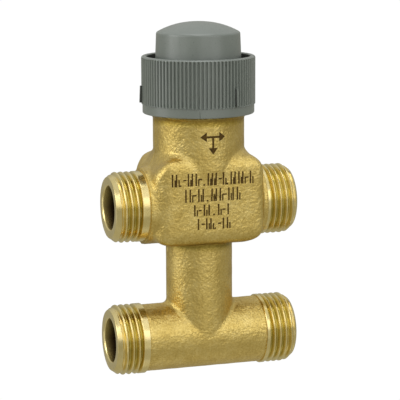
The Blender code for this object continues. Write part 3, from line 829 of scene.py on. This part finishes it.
def shaded_plastic():
    # Painted shade: a near-black copy of the grey plastic, laid on the ring's inner mouth wall and on the lug sides,
    # where shade falls.
    f = Finish("grey_plastic_painted_shade", (0.055, 0.06, 0.055), 0.55, 0.0, 0.3)
    f.bump(f.noise(0.35, 2.0), 0.006)
    return f.material


def burnt_mark():
    f = Finish("burnt_mark", (0.085, 0.045, 0.004), 0.6, 0.55)
    grain = f.noise(0.4, 2.0)
    f.link(f.ramp(grain, [(0.35, (0.060, 0.030, 0.002)), (0.65, (0.135, 0.073, 0.006))]), f.surface.inputs['Base Color'])
    f.bump(grain, 0.03)
    return f.material


def steel(name, color, roughness):
    f = Finish(name, color, roughness, 1.0)
    marks = f.rings_z(0.12)
    f.link(f.remap(marks, 0.3, 0.7, roughness - 0.05, roughness + 0.08), f.surface.inputs['Roughness'])
    f.bump(marks, 0.002)
    return f.material


def soft_rubber():
    f = Finish("black_elastomer", (0.018, 0.018, 0.019), 0.55, 0.0, 0.4)
    f.bump(f.noise(0.3, 2.0), 0.006)
    return f.material


def ptfe():
    f = Finish("white_fluoropolymer", (0.80, 0.80, 0.77), 0.42, 0.0, 0.4)
    f.surface.inputs['Subsurface Weight'].default_value = 0.1
    f.surface.inputs['Subsurface Scale'].default_value = 0.001
    f.bump(f.noise(0.5, 2.0), 0.004)
    return f.material


def dress(obj, material):
    if len(obj.material_slots) == 0:
        obj.data.materials.append(material)
    for entry in obj.material_slots:
        entry.material = material


def dress_part(obj, material, chosen):
    """A further material on the faces for which chosen(centre mm, normal) is true."""
    mesh = obj.data
    n = len(mesh.polygons)
    centre, normal = np.empty(n * 3), np.empty(n * 3)
    mesh.polygons.foreach_get("center", centre)
    mesh.polygons.foreach_get("normal", normal)
    mesh.materials.append(material)
    index = np.zeros(n, np.int32)
    mesh.polygons.foreach_get("material_index", index)
    index[chosen(centre.reshape(-1, 3) / MM, normal.reshape(-1, 3))] = len(mesh.materials) - 1
    mesh.polygons.foreach_set("material_index", index)


def inside_skin(c, n):
    return forging(c[:, 0], c[:, 1], c[:, 2]) < -0.6


def in_port_bore(c, n):
    level = np.where(c[:, 2] < -20, -PORT_PITCH, 0.0)
    return np.hypot(c[:, 1], c[:, 2] - level) < BORE_R + 0.02


# Faces given the painted-shade plastic: the inner wall of the ring's mouth and the side faces of the lugs.
def painted_shade_faces(c, n):
    r = np.hypot(c[:, 0], c[:, 1])
    mouth = (r < 15.3) & (c[:, 2] > 38)
    sideways = np.abs(n[:, 1] * c[:, 0] - n[:, 0] * c[:, 1]) / r
    return mouth | ((r > 16.75) & (r < 17.6) & (sideways > 0.7))


# ------------------------------------------------------------------ build
body, ports = make_body()
marks = make_marks()
ring = make_ring()
dome = make_dome()
bonnet = make_bonnet()
spring = make_spring()

BLASTED = forged_brass()
BRIGHT = turned_brass()
UPRIGHT = turned_brass_upright()
PLASTIC = grey_plastic()
BURNT = burnt_mark()
BORE = bore_brass()
PLASTIC_PAINTED_SHADE = shaded_plastic()
INNER = {
    "stainless_steel": steel("stainless_turned", (0.60, 0.60, 0.61), 0.24),
    "spring_steel": steel("spring_wire", (0.50, 0.50, 0.52), 0.30),
    "elastomer": soft_rubber(),
    "white_ptfe": ptfe(),
    "turned_brass": UPRIGHT,
    "forged_brass": BLASTED,
    "grey_plastic": PLASTIC,
}

dress(body, BLASTED)
dress_part(body, BORE, inside_skin)
for port in ports:
    dress(port, BRIGHT)
    dress_part(port, BORE, in_port_bore)
dress(marks, BURNT)
dress(ring, PLASTIC)
dress_part(ring, PLASTIC_PAINTED_SHADE, painted_shade_faces)
dress(dome, PLASTIC)
dress(bonnet, UPRIGHT)
dress(spring, INNER["spring_steel"])

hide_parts("valve_body")
for piece in (body, *ports, marks):
    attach(piece, "valve")
    "turned_brass" if piece in ports else "forged_brass"
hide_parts("bonnet")
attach(bonnet, "valve")
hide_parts("return_spring")
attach(spring, "valve")
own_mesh(spring)
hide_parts("cap_ring")
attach(ring, "ring_body")
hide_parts("cap_dome")
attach(dome, "dome_body")

SLOT_OF = {
    "bonnet_o_ring": "elastomer", "seat_cage": "turned_brass", "cage_o_ring": "elastomer",
    "bypass_seat": "turned_brass", "stem": "stainless_steel", "upper_seal_disc": "elastomer",
    "plug_carrier": "turned_brass", "lower_seal_disc": "elastomer", "plug_nut": "stainless_steel",
    "spring_seat": "spring_steel", "spring_cup": "spring_steel",
    "stem_clip": "spring_steel", "stem_guide": "white_ptfe", "gland_o_ring_lower": "elastomer",
    "gland_washer": "white_ptfe", "gland_o_ring_upper": "elastomer", "gland_nut": "turned_brass",
}
for node, name in SLOT_OF.items():
    dress(NODES[node], INNER[name])


# ------------------------------------------------------------------ stage, lights, camera
def make_stage():
    bpy.ops.mesh.primitive_plane_add(size=16.0, location=(0, 0, -0.0506))
    floor = bpy.context.object
    floor.name = "studio_floor"
    material = bpy.data.materials.new("studio_floor_white")
    material.use_nodes = True
    tree = material.node_tree
    tree.nodes.clear()
    out = tree.nodes.new('ShaderNodeOutputMaterial')
    glow = tree.nodes.new('ShaderNodeEmission')
    glow.inputs['Color'].default_value = (1, 1, 1, 1)
    glow.inputs['Strength'].default_value = 1.02
    tree.links.new(glow.outputs[0], out.inputs[0])
    bpy.ops.mesh.primitive_cylinder_add(
        vertices=96, radius=4.0, depth=8.0, end_fill_type='NOTHING', location=(0, 0, 3.9))
    wall = bpy.context.object
    wall.name = "studio_wall"
    for piece in (floor, wall):
        piece.data.materials.append(material)
        piece.visible_glossy = False
        piece.visible_diffuse = False
        piece.visible_shadow = False


def direction(azimuth, elevation):
    a, e = math.radians(azimuth), math.radians(elevation)
    return Vector((math.sin(a) * math.cos(e), -math.cos(a) * math.cos(e), math.sin(e)))


def softbox(name, azimuth, elevation, distance, width, height, power, color=(1, 1, 1)):
    data = bpy.data.lights.new(name, 'AREA')
    data.shape = 'RECTANGLE'
    data.size, data.size_y = width, height
    data.energy = power
    data.color = color
    lamp = bpy.data.objects.new(name, data)
    bpy.context.scene.collection.objects.link(lamp)
    toward = direction(azimuth, elevation)
    lamp.location = toward * distance + Vector((0, 0, 0.0))
    lamp.rotation_mode = 'QUATERNION'
    lamp.rotation_quaternion = toward.to_track_quat('Z', 'Y')
    return lamp


def make_world(low, horizon, high):
    world = bpy.data.worlds.new("studio_world")
    bpy.context.scene.world = world
    world.use_nodes = True
    tree = world.node_tree
    tree.nodes.clear()
    out = tree.nodes.new('ShaderNodeOutputWorld')
    back = tree.nodes.new('ShaderNodeBackground')
    place = tree.nodes.new('ShaderNodeTexCoord')
    axis = tree.nodes.new('ShaderNodeSeparateXYZ')
    span = tree.nodes.new('ShaderNodeMapRange')
    span.inputs[1].default_value, span.inputs[2].default_value = -1.0, 1.0
    ramp = tree.nodes.new('ShaderNodeValToRGB')
    for element, (position, value) in zip(
            [ramp.color_ramp.elements[0], ramp.color_ramp.elements.new(0.5), ramp.color_ramp.elements[-1]],
            [(0.0, low), (0.5, horizon), (1.0, high)]):
        element.position = position
        element.color = (*value, 1)
    tree.links.new(place.outputs['Generated'], axis.inputs[0])
    tree.links.new(axis.outputs[2], span.inputs[0])
    tree.links.new(span.outputs[0], ramp.inputs[0])
    tree.links.new(ramp.outputs[0], back.inputs['Color'])
    tree.links.new(back.outputs[0], out.inputs['Surface'])
    return world


def make_camera():
    azimuth, elevation, roll = math.radians(-18.336), math.radians(9.902), math.radians(-0.21)
    reach, focal, u0, v0 = 533.96, 1790.5, 198.772, 202.39
    back = Vector((math.sin(azimuth) * math.cos(elevation), -math.cos(azimuth) * math.cos(elevation),
                   math.sin(elevation)))
    right = Vector((math.cos(azimuth), math.sin(azimuth), 0.0))
    up = back.cross(right)
    right, up = (math.cos(roll) * right + math.sin(roll) * up, -math.sin(roll) * right + math.cos(roll) * up)
    place = reach * back - (u0 - 200) / focal * reach * right + (v0 - 200) / focal * reach * up
    data = bpy.data.cameras.new("camera")
    data.sensor_width = 36.0
    data.lens = focal / 400 * 36.0
    data.clip_start, data.clip_end = 0.01, 60.0
    camera = bpy.data.objects.new("camera", data)
    bpy.context.scene.collection.objects.link(camera)
    turn = Matrix((right, up, back)).transposed().to_4x4()
    camera.matrix_world = Matrix.Translation(place * MM) @ turn
    bpy.context.scene.camera = camera
    return camera


make_stage()
make_world((0.43, 0.415, 0.34), (0.345, 0.34, 0.295), (0.79, 0.79, 0.78))
for at, (azimuth, elevation, power) in enumerate((
        (0, 20, 0.67), (30, 20, 1.29), (-60, 20, 0.85), (-90, 20, 2.43), (0, 50, 0.85), (0, 88, 2.26), (0, -10, 0.42),
        (30, -10, 0.19), (-100, -10, 0.85), (0, -80, 0.3))):
    softbox("softbox_%d" % at, azimuth, elevation, 1.2, 0.62, 0.62, power)
make_camera()
bpy.context.scene.view_settings.view_transform = 'Standard'
